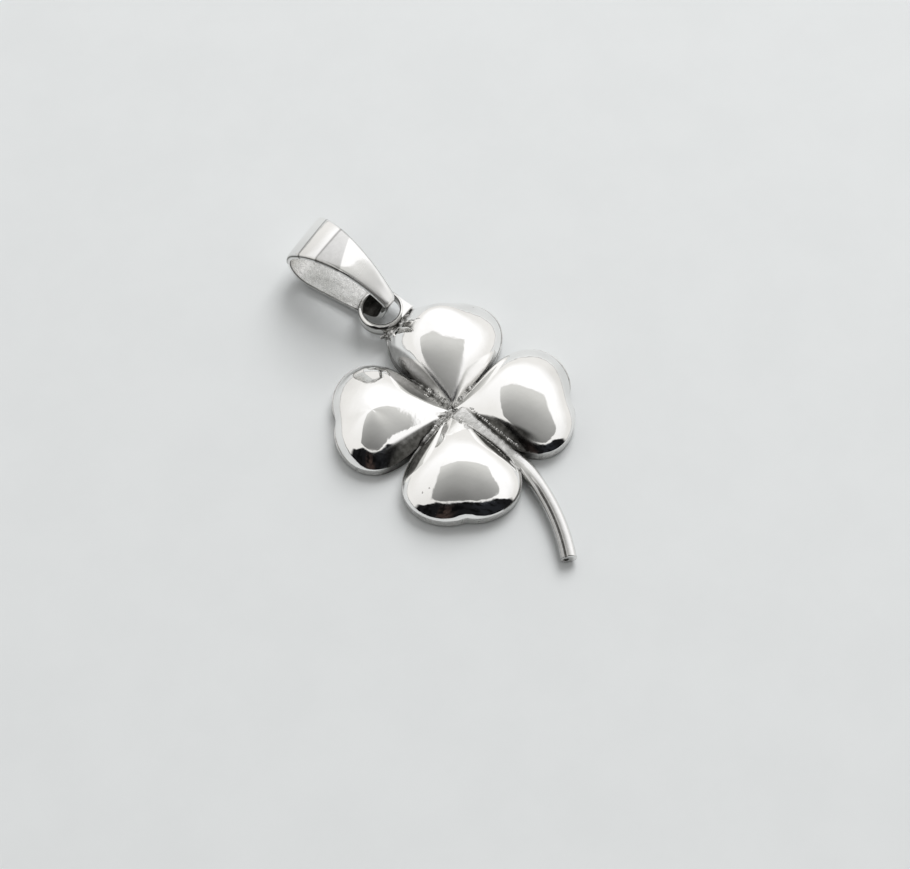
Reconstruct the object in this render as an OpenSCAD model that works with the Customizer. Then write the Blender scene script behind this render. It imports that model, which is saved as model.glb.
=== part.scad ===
/* [Leaves] */
// Distance from the middle of the clover to the round end of a leaf
leaf_reach = 8.2; // [7.4:0.1:9.4]
// Half of the angle that one leaf fills
leaf_spread = 45.8; // [45.4:0.1:47]
// Depth of the dent in the outer end of a leaf
dent_depth = 0.54; // [0.2:0.02:0.9]
// Half of the angle over which that dent fades out
dent_spread = 6.5; // [4:0.5:10]
// Distance from the middle of the clover to the highest point of a leaf
crown_out = 4.8; // [4.2:0.05:5.2]
// Height of the upright rim round the leaves
rim_h = 0.85; // [0.8:0.05:1.2]
// Height of a leaf's puffed dome above the rim
puff_h = 2.45; // [2:0.05:3.2]
// Radius of the round top that the dome turns into at its crown
crown_r = 2.6; // [2.2:0.1:3.4]
// Turn of the first leaf, counted from the +X axis
leaf_turn = 62.6; // [55:0.2:70]

/* [Shell] */
// Thickness of the puffed front sheet
sheet_t = 0.45; // [0.35:0.05:0.55]
// Thickness of the flat back plate
back_t = 0.4; // [0.3:0.05:0.5]
// Width of the passages that join the hollows under the leaves
passage_w = 0.5; // [0.3:0.05:0.8]
// Bore of the vent that runs out through the stem
vent_d = 0.3; // [0.2:0.02:0.36]

/* [Stem] */
// Width of the stem
stem_w = 1.08; // [0.9:0.02:1.3]
// Height of the stem
stem_h = 1.0; // [0.85:0.05:1.3]
// Direction in which the stem leaves the middle, counted from the +X axis
stem_turn = -74.3; // [-78:0.2:-70]
// Length of the straight root between two leaves
root_len = 5.5; // [5:0.1:6.5]
// Radius of the short knee where the stem comes out
knee_r = 4; // [3:0.5:6]
// Angle of that knee
knee_bend = 12; // [4:1:20]
// Radius of the long bend of the free stem
bend_r = 13.7; // [9:0.1:20]
// Angle of that long bend
bend_turn = 29; // [15:1:40]

/* [Hanging ring] */
// Bore of the ring
ring_bore = 2.52; // [2.3:0.02:3]
// Thickness of the ring's band
ring_band = 0.34; // [0.26:0.02:0.4]
// Height of the ring's band
ring_h = 0.75; // [0.6:0.05:0.9]
// How far the ring reaches in over the edge of the leaf beside it
ring_bite = 0.34; // [0.2:0.02:0.5]
// Width of the soldered seam between the ring and its seat in the leaf
seam_w = 0.5; // [0.3:0.02:0.6]
// Distance from the ring's middle to the outer corner of the solder lug
lug_out = 2.17; // [1.9:0.02:2.4]

/* [Bail] */
// Length of the bail
bail_len = 8.35; // [7.5:0.05:10]
// Width of the band at the top bend
bail_top_w = 3.96; // [3:0.02:5]
// Width of the band at the foot, where it hangs in the ring
bail_foot_w = 1.02; // [0.8:0.02:1.2]
// Thickness of the band
bail_wall = 0.42; // [0.34:0.02:0.46]
// Radius of the top bend
top_bend_r = 1.92; // [1.7:0.02:2.1]
// Radius of the tight bend between the front and the foot
brow_bend_r = 0.5; // [0.5:0.02:0.8]
// Height of that bend's middle over the middle of the top bend
brow_bend_up = 1.06; // [0.8:0.02:1.2]
// Radius of the bend between the foot and the back
heel_bend_r = 1.38; // [1.2:0.02:1.5]
// Distance of that bend's middle from the end of the foot
heel_bend_in = 1.78; // [1.6:0.02:2]
// Depth of that bend's middle under the middle of the top bend
heel_bend_down = 0.29; // [0.2:0.01:0.35]
// Radius of the bulging front of the bail
front_r = 5.7; // [5.2:0.1:7]
// Radius of the nearly flat back of the bail
back_r = 27; // [16:1:60]
// Radius of the foot's slightly bulging face
foot_r = 14; // [8:1:30]
// How far the bend of the band is out of square
bail_skew = 8; // [0:0.1:10]
// Turn of the bail away from the +Y axis
bail_turn = 15.5; // [5:0.1:20]
// How far the bail lies to one side of the ring's middle
bail_aside = 0.1; // [0:0.01:0.2]
// Clear gap between the foot of the bail and the ring's bore
link_gap = 0.33; // [0.2:0.01:0.4]
// Clear gap between the band's inside and the ring above it
under_gap = 0.1; // [0.06:0.01:0.15]

/* [Hidden] */
silver = [0.86, 0.86, 0.85];
leaf_count = 4;
// Powers that round the shoulders of a leaf's outline
shoulder_power = 3;
end_power = 3.2;
dent_power = 1.3;
// Powers that shape the dome: how soon the dent fades, how late the outline turns round
// and how gently the flank leaves the rim
dent_fade = 2.5;
crown_power = 2.5;
flank_power = 1.5;
// Points along a leaf's edge, and steps from the edge up to its crown
edge_points = 56;
dome_steps = 9;
hollow_points = 28;
hollow_steps = 5;
// Points along each part of the stem, and round its section
knee_steps = 3;
bend_steps = 9;
stem_sides = 12;
vent_sides = 8;
ring_fn = 48;
arc_fn = 256;
small_fn = 16;
leaf_step = 360 / leaf_count;

// Distance of a leaf's edge from the clover's middle, at an angle from the leaf's own axis:
// a round-shouldered sector with a dent that fades away from the axis
function edge_at(angle, dent) =
    let (share = min(abs(angle) / leaf_spread, 1))
    max(leaf_reach * pow(1 - pow(share, shoulder_power), 1 / end_power)
        - dent * exp(-pow(abs(angle) / dent_spread, dent_power)), 0);

// One point of a leaf's edge, for t from -1 to 1, seen from the leaf's crown
function edge_point(t, dent) =
    let (angle = leaf_spread * sin(90 * t), r = edge_at(angle, dent))
    [r * cos(angle) - crown_out, r * sin(angle)];

// One level of a dome: the edge drawn in towards the crown while it rises along a quarter of a
// rounded curve. The dent fades on the way up, and the outline turns into the crown's circle.
function dome_level(points, climb, base, rise) =
    let (roundness = pow(climb / 90, crown_power), fade = dent_depth * pow(cos(climb), dent_fade))
    [for (i = [0 : points - 1])
        let (p = edge_point(-1 + 2 * i / points, fade), round_p = crown_r * p / norm(p),
             q = ((1 - roundness) * p + roundness * round_p) * cos(climb))
        [q[0] + crown_out, q[1], base + rise * pow(sin(climb), flank_power)]];

// A puffed leaf: upright wall from floor_z to wall_top, then a dome of the given rise
module puffed_leaf(points, steps, floor_z, wall_top, rise) {
    levels = [for (k = [0 : steps - 1]) dome_level(points, 90 * k / steps, wall_top, rise)];
    foot = [for (p = levels[0]) [p[0], p[1], floor_z]];
    body = concat(foot, [for (level = levels) each level], [[crown_out, 0, wall_top + rise]]);
    crown = len(body) - 1;
    walls = [for (k = [0 : steps - 1]) for (i = [0 : points - 1])
        let (a = k * points + i, b = k * points + (i + 1) % points)
        each [[a, a + points, b], [b, a + points, b + points]]];
    cap = [for (i = [0 : points - 1])
        [steps * points + i, crown, steps * points + (i + 1) % points]];
    polyhedron(body, concat([[for (i = [0 : points - 1]) i]], walls, cap));
}

module each_leaf() {
    for (i = [0 : leaf_count - 1])
        rotate(leaf_turn + i * leaf_step) children();
}

// The hollow under each leaf follows the dome, one sheet thickness inside it
hollow_share = 1 - sheet_t / (leaf_reach - crown_out);

module hollow_leaf() {
    translate([crown_out * (1 - hollow_share), 0, 0])
        scale([hollow_share, hollow_share, 1])
            puffed_leaf(hollow_points, hollow_steps, back_t, rim_h, puff_h - sheet_t);
}

// Low passages from leaf to leaf through the middle, so that the hollow is one space
passage_h = rim_h - back_t - sheet_t / 2;
passage_len = 2 * crown_out;

module passages() {
    for (turn = [0, leaf_step])
        rotate(leaf_turn + turn)
            translate([-passage_len / 2, -passage_w / 2, back_t])
                cube([passage_len, passage_w, passage_h]);
}

// The stem's route: a straight root, a short knee and one long bend, each as [x, y, heading]
function arc_step(start, radius, turn) =
    [start[0] + radius * (sin(start[2]) - sin(start[2] - turn)),
     start[1] - radius * (cos(start[2]) - cos(start[2] - turn)),
     start[2] - turn];
root_end = [root_len * cos(stem_turn), root_len * sin(stem_turn), stem_turn];
knee_end = arc_step(root_end, knee_r, knee_bend);
stem_route = concat(
    [[0, 0, stem_turn]],
    [for (k = [0 : knee_steps]) arc_step(root_end, knee_r, knee_bend * k / knee_steps)],
    [for (k = [1 : bend_steps]) arc_step(knee_end, bend_r, bend_turn * k / bend_steps)]);
stem_tip = stem_route[len(stem_route) - 1];

// A closed tube along a route, with the section given as points [across, up]
module sweep(route, section) {
    n = len(section);
    last = len(route) - 1;
    points = [for (p = route) for (q = section)
        [p[0] - q[0] * sin(p[2]), p[1] + q[0] * cos(p[2]), q[1]]];
    sides = [for (k = [0 : last - 1]) for (i = [0 : n - 1])
        let (a = k * n + i, b = k * n + (i + 1) % n)
        each [[a, a + n, b], [b, a + n, b + n]]];
    polyhedron(points, concat(
        [[for (i = [0 : n - 1]) i]],
        sides,
        [[for (i = [n - 1 : -1 : 0]) last * n + i]]));
}

// Round-backed section with a flat underside, which is a little narrower than the stem
flat_share = 0.84;
shoulder_z = stem_h - stem_w / 2;
stem_section = concat(
    [[-flat_share * stem_w / 2, 0], [flat_share * stem_w / 2, 0]],
    [for (k = [0 : stem_sides])
        let (a = 180 * k / stem_sides)
        [stem_w / 2 * cos(a), shoulder_z + stem_w / 2 * sin(a)]]);

module stem() {
    sweep(stem_route, stem_section);
}

// The vent follows the stem and runs out straight past its tip
vent_past = 1;
vent_z = back_t + passage_h / 2;
vent_end = [
    stem_tip[0] + vent_past * cos(stem_tip[2]),
    stem_tip[1] + vent_past * sin(stem_tip[2]),
    stem_tip[2]];
vent_section = [for (k = [0 : vent_sides - 1])
    let (a = 360 * k / vent_sides)
    [vent_d / 2 * cos(a), vent_z + vent_d / 2 * sin(a)]];

module vent() {
    inside = [for (k = [0 : len(stem_route) - 2]) stem_route[k]];
    sweep(concat(inside, [vent_end]), vent_section);
}

// Solder webs that fill the bottom of the grooves between the leaves
web_reach = 0.79 * crown_out;
web_w = 0.5;
middle_w = 0.8;
middle_h = 1.15 * rim_h;
web_h = 0.8 * rim_h;

module webs() {
    for (i = [0 : leaf_count - 1])
        rotate(leaf_turn + (i + 0.5) * leaf_step)
            hull() {
                cylinder(d = middle_w, h = middle_h, $fn = small_fn);
                translate([web_reach, 0, 0])
                    cylinder(d = web_w, h = web_h, $fn = small_fn);
            }
}

// The side profile of the bail lies along its own x axis, with the end of the foot at x = 0.
// It is a rounded triangle: three bends, each as [x, z, radius], and three bulging sides.
brow = [brow_bend_r, brow_bend_up, brow_bend_r];
heel = [heel_bend_in, -heel_bend_down, heel_bend_r];
top = [bail_len - top_bend_r, 0, top_bend_r];

// Middle of the arc that touches two bends from outside, with the profile on the right of the
// way from the first bend to the second
function side_centre(a, b, radius) =
    let (way = [b[0] - a[0], b[1] - a[1]], span = norm(way),
         f = radius - a[2], t = radius - b[2],
         along = (f * f - t * t + span * span) / (2 * span),
         across = sqrt(f * f - along * along))
    [a[0], a[1]] + (along * way + across * [way[1], -way[0]]) / span;

// A point well outside a side, straight out from the place where it touches a bend
function beyond(centre, bend, radius) =
    let (out = [bend[0], bend[1]] - centre)
    centre + 2 * radius * out / norm(out);

module side(a, b, radius, inset) {
    centre = side_centre(a, b, radius);
    intersection() {
        translate(centre) circle(radius - inset, $fn = arc_fn);
        polygon([[a[0], a[1]], beyond(centre, a, radius), beyond(centre, b, radius), [b[0], b[1]]]);
    }
}

// Outline of the profile, shrunk evenly by inset
module bail_profile(inset) {
    for (bend = [brow, heel, top])
        translate([bend[0], bend[1]]) circle(bend[2] - inset, $fn = arc_fn);
    side(heel, brow, foot_r, inset);
    side(brow, top, front_r, inset);
    side(top, heel, back_r, inset);
    polygon([for (bend = [brow, heel, top]) [bend[0], bend[1]]]);
}

back_c = side_centre(top, heel, back_r);
bail_rise = back_r - back_c[1];

module bail_side_view() {
    difference() {
        bail_profile(0);
        bail_profile(bail_wall);
    }
}

// The taper of the band, seen from the front. It runs on past both ends of the bail,
// because the bend is a little out of square.
taper = (bail_top_w - bail_foot_w) / bail_len;
past_end = 1;

function half_width(x) = (bail_foot_w + taper * x) / 2;

module bail_front_view() {
    low = -past_end;
    high = bail_len + past_end;
    polygon([
        [low, -half_width(low)],
        [high, -half_width(high)],
        [high, half_width(high)],
        [low, half_width(low)]]);
}

// Height of the back's underside above the surface that the bail lies on
function back_height(x) = back_r - sqrt(back_r * back_r - (x - back_c[0]) * (x - back_c[0]));

// The ring bites into the edge of the leaf beside it, its bore clears the foot of the bail,
// and its underside clears the band that lies below its far side
ring_r = ring_bore / 2;
ring_outer = ring_r + ring_band;
ring_y = edge_at(90 - leaf_turn, dent_depth) + ring_outer - ring_bite;
seat_r = ring_outer + seam_w;
foot_back = ring_r - link_gap;
ring_z = back_height(foot_back + ring_r) + bail_wall + under_gap;

module bail_place() {
    translate([0, ring_y, bail_rise])
        rotate(90 + bail_turn)
            translate([-foot_back, -bail_aside, 0])
                children();
}

module bail() {
    color(silver) bail_place() intersection() {
        rotate([90, 0, bail_skew])
            linear_extrude(2 * bail_top_w, center = true) bail_side_view();
        linear_extrude(4 * bail_rise, center = true) bail_front_view();
    }
}

// The band of the hanging ring, with its outer corners rounded
module ring() {
    corner = ring_band / 2;
    translate([0, ring_y, ring_z]) rotate_extrude($fn = ring_fn)
        translate([ring_r, 0]) {
            square([corner, ring_h]);
            translate([corner, corner]) circle(corner, $fn = small_fn);
            translate([corner, ring_h - corner]) circle(corner, $fn = small_fn);
            translate([corner, corner]) square([corner, ring_h - ring_band]);
        }
}

// Seat that is filed into the leaf's edge for the ring, down to the back plate
module seat(radius) {
    translate([0, ring_y, back_t]) cylinder(r = radius, h = rim_h + puff_h, $fn = ring_fn);
}

// Three-cornered lug beside the ring, with its corners at these angles round the ring
lug_start = 20;
lug_corner = -28.5;
lug_end = -61.5;
lug_root = ring_r + ring_band / 4;
lug_h = ring_h - ring_band / 4;

function round_ring(radius, angle) = [radius * cos(angle), radius * sin(angle)];

module lug() {
    translate([0, ring_y, ring_z])
        linear_extrude(lug_h)
            polygon([
                round_ring(ring_outer - ring_band / 4, lug_start),
                round_ring(lug_out, lug_corner),
                round_ring(ring_outer, lug_end),
                round_ring(lug_root, lug_corner)]);
}

// Lumps of solder between the ring and the leaf. Each row is the angle round the ring,
// the radius as a share of solder_r and the height as a share of the ring's underside.
solder_r = 0.33;
lumps = [
    [-58, 0.92, 1.15],
    [-68, 1.08, 1.05],
    [-78, 0.96, 1.20],
    [-88, 1.12, 1.00],
    [-98, 1.00, 1.10],
    [-107, 1.08, 0.85],
    [-114, 0.90, 0.75]];
lump_sides = 10;

module lump(row) {
    place = round_ring(ring_outer + seam_w / 2, row[0]);
    translate([place[0], place[1], row[2] * ring_z])
        sphere(row[1] * solder_r, $fn = lump_sides);
}

module solder() {
    for (k = [0 : len(lumps) - 2])
        translate([0, ring_y, 0]) hull() {
            lump(lumps[k]);
            lump(lumps[k + 1]);
        }
}

// The hollows stop short of the seat by one sheet thickness
module hollows() {
    difference() {
        each_leaf() hollow_leaf();
        seat(seat_r + sheet_t);
    }
}

module clover() {
    color(silver) difference() {
        union() {
            difference() {
                each_leaf() puffed_leaf(edge_points, dome_steps, 0, rim_h, puff_h);
                seat(seat_r);
            }
            webs();
            stem();
            ring();
            lug();
            solder();
        }
        hollows();
        passages();
        vent();
    }
}

clover();
bail();
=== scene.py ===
"""Four leaf clover pendant in polished silver, lying on a pale surface.

Every shape is a numpy surface: a function of two parameters on a grid, in millimetres, turned
into metres when its mesh is made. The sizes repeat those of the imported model.
"""

import bpy
import numpy as np
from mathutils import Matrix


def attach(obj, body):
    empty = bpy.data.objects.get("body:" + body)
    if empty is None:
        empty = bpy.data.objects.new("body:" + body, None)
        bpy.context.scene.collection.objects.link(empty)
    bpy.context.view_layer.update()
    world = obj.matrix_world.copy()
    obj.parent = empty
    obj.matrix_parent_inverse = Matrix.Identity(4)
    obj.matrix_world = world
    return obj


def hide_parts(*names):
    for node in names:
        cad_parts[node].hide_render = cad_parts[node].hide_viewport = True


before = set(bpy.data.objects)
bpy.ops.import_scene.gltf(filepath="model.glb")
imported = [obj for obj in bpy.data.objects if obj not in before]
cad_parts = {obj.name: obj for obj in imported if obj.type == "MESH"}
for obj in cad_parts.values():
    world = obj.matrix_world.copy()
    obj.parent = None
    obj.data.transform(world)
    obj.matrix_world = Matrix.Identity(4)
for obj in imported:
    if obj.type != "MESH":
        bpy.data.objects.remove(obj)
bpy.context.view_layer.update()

MM = 0.001
TURN = 2 * np.pi

# Leaves
REACH = 8.2
SPREAD = np.radians(45.8)
DENT = 0.54
DENT_SPREAD = np.radians(6.5)
# The power by which the dent fades up the dome
DENT_FADE = 2.6
# How far the dome's foot stands back from the edge where the leaf faces away
HEM = 0.12
# Share of darkening in patches at a leaf's outer end
OUTER_DARK = 0.11
# Degrees from +X to the first leaf. The others follow in quarter turns
LEAF_TURN = 62.6
# The direction that faces away from the camera
FAR_TURN = np.radians(56.5)
# Hammered domes, one line a leaf: crown's place outward and sideways, rise, smoothing and its
# power, power of the flank, power of the draw, rim height, the crown's oval along and askew, how
# full the flank is that faces away, how many degrees that flank lies further round, and the
# dent's depth as a share of DENT
DOMES = [(4.95, 0.80, 2.57, 1.37, 2.05, 1.18, 1.03, 0.88, 0.29, -0.21, -1.0, 0, 1.0),
         (5.35, 0.55, 2.20, 0.75, 1.15, 1.83, 1.29, 0.79, -0.35, 0.28, 0.8, 50, 0.8),
         (4.80, -0.24, 2.15, 0.93, 1.36, 1.63, 1.21, 0.88, -0.05, -0.11, 0.15, 0, 0.5),
         (4.00, 0.50, 2.21, 1.25, 1.75, 1.77, 1.02, 0.94, -0.17, 0.0, 0.55, 0, 0.8)]

# Stem
STEM_W = 1.08
STEM_H = 1.0
STEM_TURN = np.radians(-74.3)
ROOT_LEN = 5.5
KNEE_R, KNEE_BEND = 4.0, np.radians(12)
BEND_R, BEND_TURN = 13.7, np.radians(29)
STEM_COLS = 96
# The groove's place on the round back, in degrees from its top to the left in the picture, and
# the rows of the route between which it deepens
STEM_GROOVE = 20
GROOVE_ROWS = 50, 80

# Hanging ring
RING_BORE = 2.52
RING_BAND = 0.34
RING_H = 0.75
RING_BITE = 0.34
LUG_OUT = 2.17
BACK_T = 0.4
# Solder beside the ring: its width, and the degrees round the ring where it begins and ends
SEAM_W = 0.5
SOLDER_START, SOLDER_END = -40, -118

# Bail
BAIL_LEN = 8.35
TOP_W = 3.96
FOOT_W = 1.02
WALL = 0.42
TOP_BEND = 1.92
BROW_BEND, BROW_UP = 0.5, 1.06
HEEL_BEND, HEEL_IN, HEEL_DOWN = 1.38, 1.78, 0.29
FRONT_R, BACK_R, FOOT_R = 5.7, 27.0, 14.0
BAIL_SKEW = np.radians(8)
BAIL_TURN = np.radians(15.5)
BAIL_ASIDE = 0.1
BAIL_ROWS = 520
LINK_GAP = 0.33
UNDER_GAP = 0.1


def smoothstep(low, high, value):
    """3 s^2 - 2 s^3 with s = (value - low) / (high - low), held between 0 and 1."""
    s = np.clip((value - low) / (high - low), 0, 1)
    return s * s * (3 - 2 * s)


def hash_row(count, seed):
    """count numbers from 0 to 1: the fractions of 43758.5 sin(12.99 k + seed)."""
    k = np.arange(count)
    return np.mod(np.sin(k * 12.9898 + seed) * 43758.5453, 1)


def ripple(x, y, z, seed):
    """A smooth bumpy field from -1 to 1: the mean of six sines of slanted sums of x, y and z."""
    total = 0
    for k in range(6):
        a = np.sin(seed + 1.7 * k) * (1 + 0.35 * k)
        b = np.cos(seed * 1.3 + 2.3 * k) * (1 + 0.35 * k)
        c = np.sin(seed * 0.7 + 3.1 * k + 1) * (1 + 0.35 * k)
        total = total + np.sin(a * x + b * y + c * z + 5 * k + seed)
    return total / 6


def ripple_over(grid, scales, seed):
    """The ripple at every point of a grid, with x, y and z each times its own scale."""
    x, y, z = (scale * grid[..., k] for k, scale in enumerate(scales))
    return ripple(x, y, z, seed)


def spline_loop(corners, each):
    """Closed Catmull-Rom curve through the corners, with that many points from one to the next."""
    p = np.asarray(corners, float)
    before, after, far = np.roll(p, 1, 0), np.roll(p, -1, 0), np.roll(p, -2, 0)
    t = np.linspace(0, 1, each, endpoint=False)[None, :, None]
    a, b, c, d = (q[:, None, :] for q in (before, p, after, far))
    curve = 0.5 * (2 * b + (c - a) * t + (2 * a - 5 * b + 4 * c - d) * t**2
                   + (3 * b - a - 3 * c + d) * t**3)
    return curve.reshape(-1, p.shape[1])


def quads(rows, cols, round_rows):
    """Corner numbers of the cells of a grid whose columns close on themselves, and whose rows do
    too where round_rows is true."""
    r = np.arange(rows if round_rows else rows - 1)[:, None]
    c = np.arange(cols)[None, :]
    up, right = (r + 1) % rows, (c + 1) % cols
    cells = [r * cols + c, r * cols + right, up * cols + right, up * cols + c]
    return np.stack(np.broadcast_arrays(*cells), -1).reshape(-1, 4)


def make_piece(name, grid, faces, node, material, masks=()):
    """A smooth mesh from a grid of points in millimetres, with faces turned outward and named
    masks."""
    points = grid.reshape(-1, 3)
    first, second, third, last = (points[faces[:, k]] for k in range(4))
    volume = np.einsum("ij,ij->", first, np.cross(second, third) + np.cross(third, last))
    if volume < 0:
        faces = faces[:, ::-1]
    clean = [list(dict.fromkeys(f)) for f in faces.tolist()]
    mesh = bpy.data.meshes.new(name)
    mesh.from_pydata((points * MM).tolist(), [], [f for f in clean if len(f) > 2])
    mesh.polygons.foreach_set("use_smooth", [True] * len(mesh.polygons))
    for mask, values in masks:
        layer = mesh.attributes.new(mask, "FLOAT", "POINT")
        layer.data.foreach_set("value", np.asarray(values, np.float32).ravel())
    mesh.materials.append(material)
    mesh.update()
    piece = bpy.data.objects.new(name, mesh)
    bpy.context.scene.collection.objects.link(piece)
    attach(piece, "root")
    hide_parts(node)


def grid_faces(rows, cols):
    """Faces of a grid that is closed at both ends: row 0 and the last row each hold one point
    many times, and the first of them is used."""
    faces = quads(rows, cols, False)
    faces = np.where(faces < cols, 0, faces)
    end = (rows - 1) * cols
    return np.where(faces >= end, end, faces)


# Node helpers
def link(tree, value, socket):
    """Joins a socket, or sets a plain number or tuple, on an input socket."""
    if isinstance(value, bpy.types.NodeSocket):
        tree.links.new(value, socket)
    else:
        socket.default_value = value


def math(tree, operation, *values, clamp=False):
    """The output of a Math node."""
    node = tree.nodes.new("ShaderNodeMath")
    node.operation = operation
    node.use_clamp = clamp
    for value, socket in zip(values, node.inputs):
        link(tree, value, socket)
    return node.outputs[0]


def vector_math(tree, operation, *values):
    """The Vector Math node itself."""
    node = tree.nodes.new("ShaderNodeVectorMath")
    node.operation = operation
    for value, socket in zip(values, node.inputs):
        link(tree, value, socket)
    return node


def ramp(tree, value, low, high, to_low=0.0, to_high=1.0, smooth=True):
    """Map Range from low..high to to_low..to_high, held at the ends."""
    node = tree.nodes.new("ShaderNodeMapRange")
    node.interpolation_type = "SMOOTHSTEP" if smooth else "LINEAR"
    for k, v in enumerate((value, low, high, to_low, to_high)):
        link(tree, v, node.inputs[k])
    return node.outputs[0]


def mix_colour(tree, share, first, second):
    """first where share is 0 and second where it is 1."""
    node = tree.nodes.new("ShaderNodeMix")
    node.data_type = "RGBA"
    link(tree, share, node.inputs["Factor"])
    link(tree, first, node.inputs[6])
    link(tree, second, node.inputs[7])
    return node.outputs[2]


def noise(tree, vector, scale, detail=2.0, roughness=0.5):
    """The value of a noise texture."""
    node = tree.nodes.new("ShaderNodeTexNoise")
    link(tree, vector, node.inputs["Vector"])
    node.inputs["Scale"].default_value = scale
    node.inputs["Detail"].default_value = detail
    node.inputs["Roughness"].default_value = roughness
    return node.outputs["Fac"]


def bump(tree, height, strength, distance, normal=None):
    """The normal of a Bump node. distance is in metres."""
    node = tree.nodes.new("ShaderNodeBump")
    node.inputs["Strength"].default_value = strength
    node.inputs["Distance"].default_value = distance
    link(tree, height, node.inputs["Height"])
    if normal is not None:
        link(tree, normal, node.inputs["Normal"])
    return node.outputs["Normal"]


def silver_group():
    """Shared look of worked silver: colour, roughness and normal, from three masks from 0 to 1:
    cast skin, dark skin together with painted shade and painted reflection, and satin where the
    polish is worn."""
    tree = bpy.data.node_groups.new("worked_silver", "ShaderNodeTree")
    face = tree.interface
    face.new_socket("Cast", in_out="INPUT", socket_type="NodeSocketFloat")
    face.new_socket("Dark_skin_and_shade", in_out="INPUT", socket_type="NodeSocketFloat")
    face.new_socket("Satin", in_out="INPUT", socket_type="NodeSocketFloat")
    face.new_socket("Colour", in_out="OUTPUT", socket_type="NodeSocketColor")
    face.new_socket("Roughness", in_out="OUTPUT", socket_type="NodeSocketFloat")
    face.new_socket("Normal", in_out="OUTPUT", socket_type="NodeSocketVector")
    begin = tree.nodes.new("NodeGroupInput")
    end = tree.nodes.new("NodeGroupOutput")
    cast = begin.outputs["Cast"]
    dark_skin_and_shade = begin.outputs["Dark_skin_and_shade"]
    place = tree.nodes.new("ShaderNodeTexCoord").outputs["Object"]
    # Polish: broad waviness of hand work, faint smears, hair scratches and a few pits
    wave = noise(tree, place, 420, 1.0)
    fine_wave = noise(tree, place, 1500, 2.0)
    smear = noise(tree, place, 900, 3.0, 0.6)
    stretch = vector_math(tree, "MULTIPLY", place, (900, 9000, 2500)).outputs[0]
    hair = noise(tree, stretch, 1.0, 3.0, 0.7)
    pits = tree.nodes.new("ShaderNodeTexVoronoi")
    link(tree, place, pits.inputs["Vector"])
    pits.inputs["Scale"].default_value = 900
    rare = noise(tree, place, 700, 1.0)
    pit = math(tree, "MULTIPLY", ramp(tree, pits.outputs["Distance"], 0.05, 0.11, 1.0, 0.0),
               ramp(tree, rare, 0.64, 0.68))
    # Cast skin: coarse lumps and fine grain
    lumps = noise(tree, place, 3500, 3.0, 0.6)
    grain = noise(tree, place, 14000, 4.0, 0.7)
    soft = bump(tree, wave, 0.08, 0.0004)
    soft = bump(tree, fine_wave, 0.075, 0.0001, soft)
    soft = bump(tree, hair, 0.02, 0.00002, soft)
    soft = bump(tree, pit, -0.6, 0.00003, soft)
    rough_height = math(tree, "ADD", math(tree, "MULTIPLY", lumps, 0.7),
                        math(tree, "MULTIPLY", grain, 0.3))
    rough_height = math(tree, "MULTIPLY", rough_height, cast)
    normal = bump(tree, rough_height, 0.9, 0.00007, soft)
    shine = ramp(tree, smear, 0.35, 0.75, 0.02, 0.075)
    dull = ramp(tree, grain, 0.3, 0.7, 0.28, 0.48)
    rough = math(tree, "ADD", math(tree, "MULTIPLY", shine, math(tree, "SUBTRACT", 1.0, cast)),
                 math(tree, "MULTIPLY", dull, cast))
    rough = math(tree, "ADD", rough, math(tree, "MULTIPLY", pit, 0.3))
    rough = math(tree, "ADD", rough, math(tree, "MULTIPLY", dark_skin_and_shade, 0.16))
    rough = math(tree, "ADD", rough, math(tree, "MULTIPLY", begin.outputs["Satin"], 0.30))
    dark_skin_and_shade = math(tree, "MULTIPLY", dark_skin_and_shade, ramp(tree, lumps, 0.3, 0.7, 1.06, 0.94), clamp=True)
    bright = mix_colour(tree, ramp(tree, smear, 0.3, 0.8),
                        (0.955, 0.95, 0.94, 1), (0.925, 0.92, 0.905, 1))
    matt = mix_colour(tree, ramp(tree, lumps, 0.3, 0.7),
                      (0.66, 0.655, 0.64, 1), (0.86, 0.855, 0.84, 1))
    colour = mix_colour(tree, cast, bright, matt)
    colour = mix_colour(tree, pit, colour, (0.18, 0.17, 0.16, 1))
    # The dark mask turns the colour near black, for dark skin and for painted shade and reflection
    # alike
    colour = mix_colour(tree, dark_skin_and_shade, colour, (0.07, 0.068, 0.062, 1))
    link(tree, colour, end.inputs["Colour"])
    link(tree, rough, end.inputs["Roughness"])
    link(tree, normal, end.inputs["Normal"])
    return tree


def silver(name, group):
    """A metal whose look comes from the shared group, with the masks of the mesh. A mask that a
    mesh lacks counts as 0."""
    material = bpy.data.materials.new(name)
    material.use_nodes = True
    tree = material.node_tree
    shader = tree.nodes["Principled BSDF"]
    shader.inputs["Metallic"].default_value = 1.0
    look = tree.nodes.new("ShaderNodeGroup")
    look.node_tree = group
    for mask_name, socket in (("cast", "Cast"), ("dark_skin_and_shade", "Dark_skin_and_shade"), ("satin", "Satin")):
        mask = tree.nodes.new("ShaderNodeAttribute")
        mask.attribute_name = mask_name
        link(tree, mask.outputs["Fac"], look.inputs[socket])
    link(tree, look.outputs["Colour"], shader.inputs["Base Color"])
    link(tree, look.outputs["Roughness"], shader.inputs["Roughness"])
    link(tree, look.outputs["Normal"], shader.inputs["Normal"])
    return material


WORKED_SILVER = silver_group()
CLOVER_SILVER = silver("clover_silver", WORKED_SILVER)
BAIL_SILVER = silver("bail_silver", WORKED_SILVER)


def clover_piece(name, grid, faces, masks=()):
    """A piece of the soldered part, in its silver."""
    make_piece(name, grid, faces, "clover", CLOVER_SILVER, masks)


# Leaves
def edge_radius(angle, dent):
    """reach (1 - share^3)^(1/3.2) - dent exp(-(|angle| / dent_spread)^1.3), where share is
    |angle| / spread."""
    share = np.clip(np.abs(angle) / SPREAD, 0, 1)
    r = REACH * (1 - share**3) ** (1 / 3.2)
    return np.maximum(r - dent * np.exp(-((np.abs(angle) / DENT_SPREAD) ** 1.3)), 0)


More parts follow.
